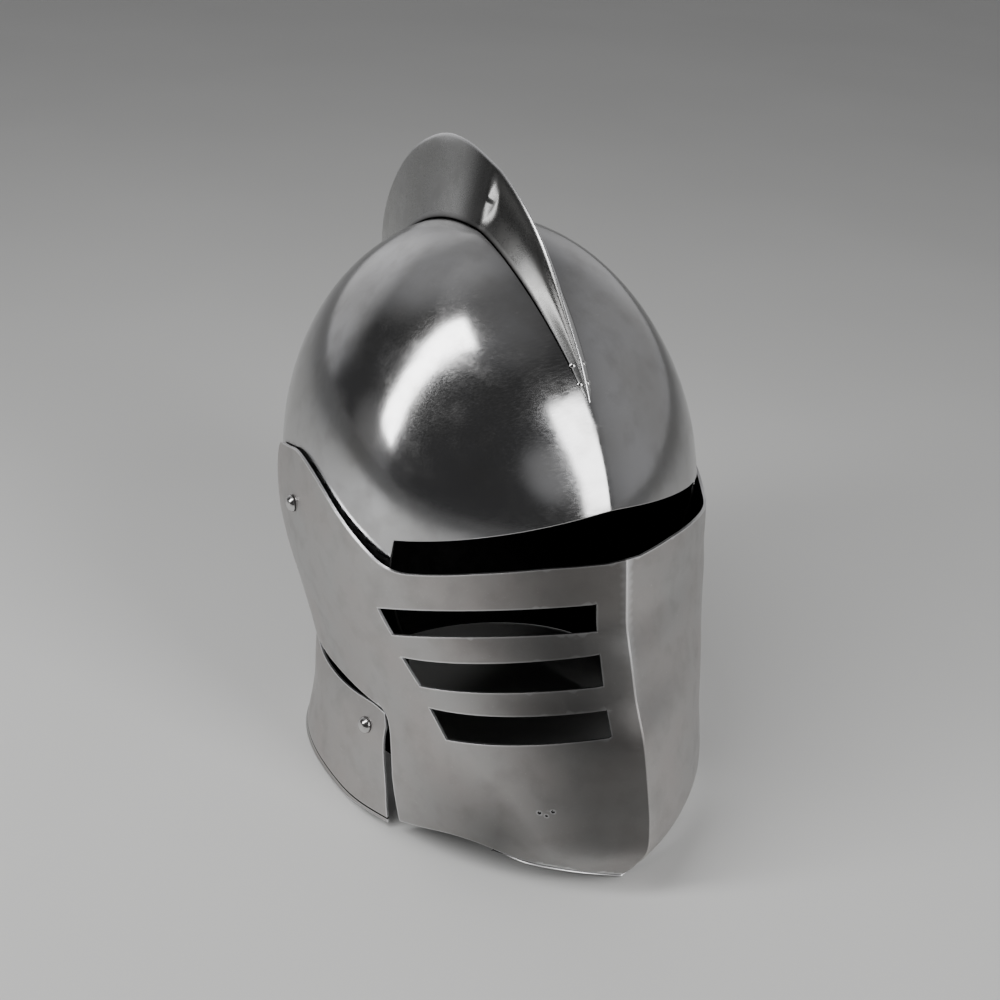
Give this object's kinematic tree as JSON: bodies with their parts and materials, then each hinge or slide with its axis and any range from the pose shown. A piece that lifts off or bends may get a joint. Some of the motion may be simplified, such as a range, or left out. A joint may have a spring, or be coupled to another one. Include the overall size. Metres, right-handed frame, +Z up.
{
  "type": "close helmet",
  "caption": "Sheet steel close helmet: domed skull with a tall comb, an open eye slit, a keeled face plate on temple rivets with breathing slots on one side, and a flared neck plate.",
  "frame": {"origin": "on the floor that the lower rim rests on, below the middle of the helmet's length and width", "axes": "+Z up, -Y towards the front of the face plate, -X towards the wearer's right, where the breathing slots are"},
  "size_m": [0.211, 0.3007, 0.3134],
  "materials": {
    "skull_steel": "polished steel with soft brush marks",
    "comb_steel": "polished steel, darker in the folds",
    "face_steel": "satin steel, faintly stained",
    "neck_steel": "satin steel, faintly stained",
    "temple_rivet_steel": "polished rivet heads",
    "neck_rivet_steel": "polished rivet heads",
    "comb_rivet_steel": "small worn rivet heads"
  },
  "bodies": {
    "shell": {"skull": "skull_steel", "comb": "comb_steel", "neck_plate": "neck_steel", "comb_rivet_front_right": "comb_rivet_steel", "comb_rivet_rear_right": "comb_rivet_steel", "comb_rivet_front_left": "comb_rivet_steel", "comb_rivet_rear_left": "comb_rivet_steel", "temple_rivet_right": "temple_rivet_steel", "temple_rivet_left": "temple_rivet_steel", "neck_rivet_right": "neck_rivet_steel", "neck_rivet_left": "neck_rivet_steel"},
    "face": {"face_plate": "face_steel"}
  },
  "joints": [
    {"name": "face_plate_swing", "type": "hinge", "parent": "shell", "child": "face", "pos_m": [0, 0.0335, 0.1478], "axis": [-1, 0, 0], "range_deg": [0, 48]}
  ]
}
